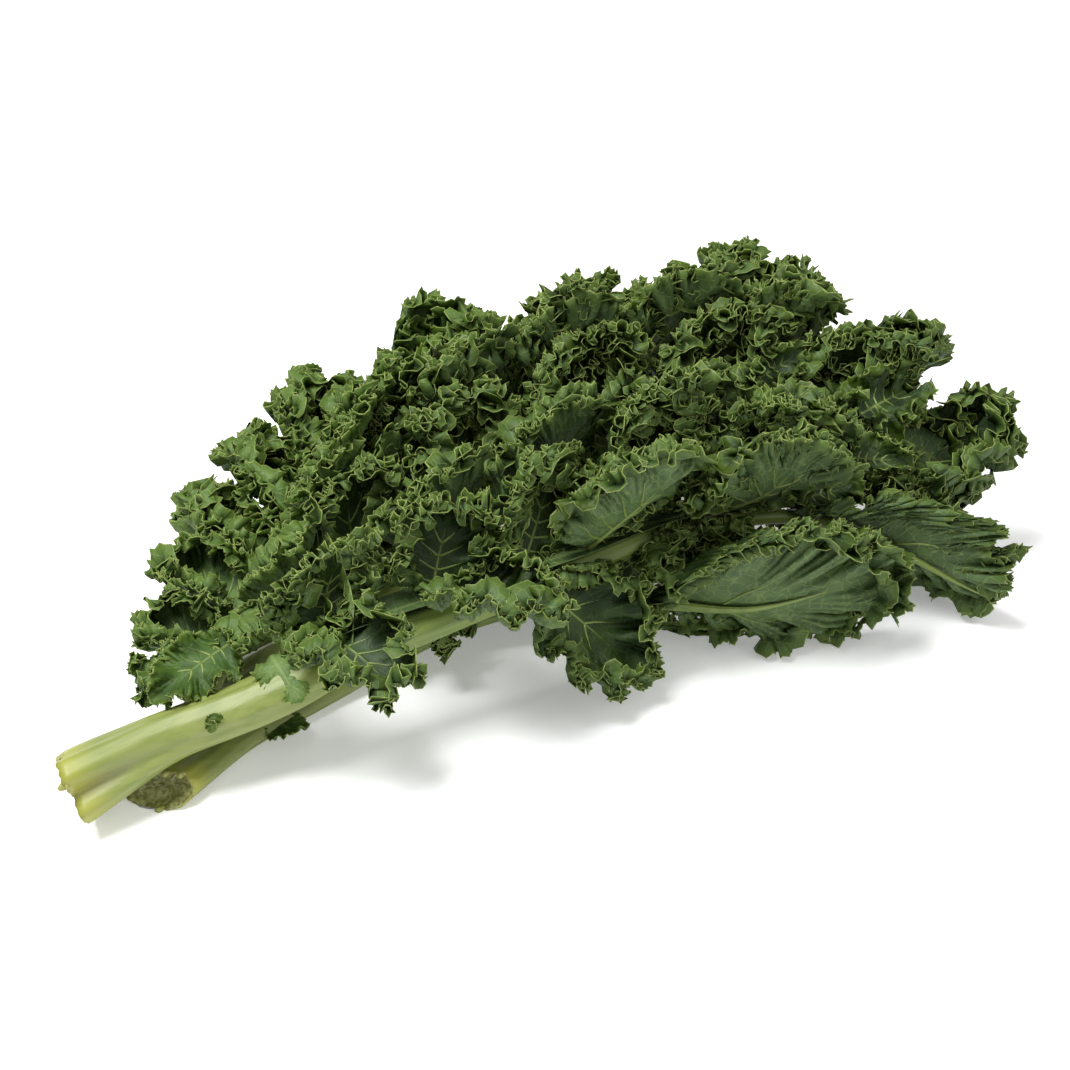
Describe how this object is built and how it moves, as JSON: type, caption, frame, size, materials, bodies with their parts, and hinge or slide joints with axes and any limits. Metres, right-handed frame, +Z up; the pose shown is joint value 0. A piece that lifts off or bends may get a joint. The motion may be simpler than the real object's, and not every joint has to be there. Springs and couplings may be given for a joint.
{
  "type": "kale bunch",
  "caption": "Untied bunch of curly kale lying on its side, with pale stalks at one end and frilled, cupped leaf lobes along the midribs.",
  "frame": {"origin": "centre of the footprint, on the surface that the bunch lies on", "axes": "+Z up, +X along the bunch from the cut stalks to the leafy end, -Y towards the thick stalk in front"},
  "size_m": [0.3974, 0.2102, 0.1175],
  "materials": {
    "stalk": "fresh stalk, satin",
    "blade": "fresh leaf, waxy and matt"
  },
  "bodies": {
    "root": {"low_leaf_stalk": "stalk", "low_leaf_blade": "blade", "front_leaf_stalk": "stalk", "front_leaf_blade": "blade", "middle_leaf_stalk": "stalk", "middle_leaf_blade": "blade", "back_leaf_stalk": "stalk", "back_leaf_blade": "blade", "left_leaf_stalk": "stalk", "left_leaf_blade": "blade"}
  },
  "joints": []
}
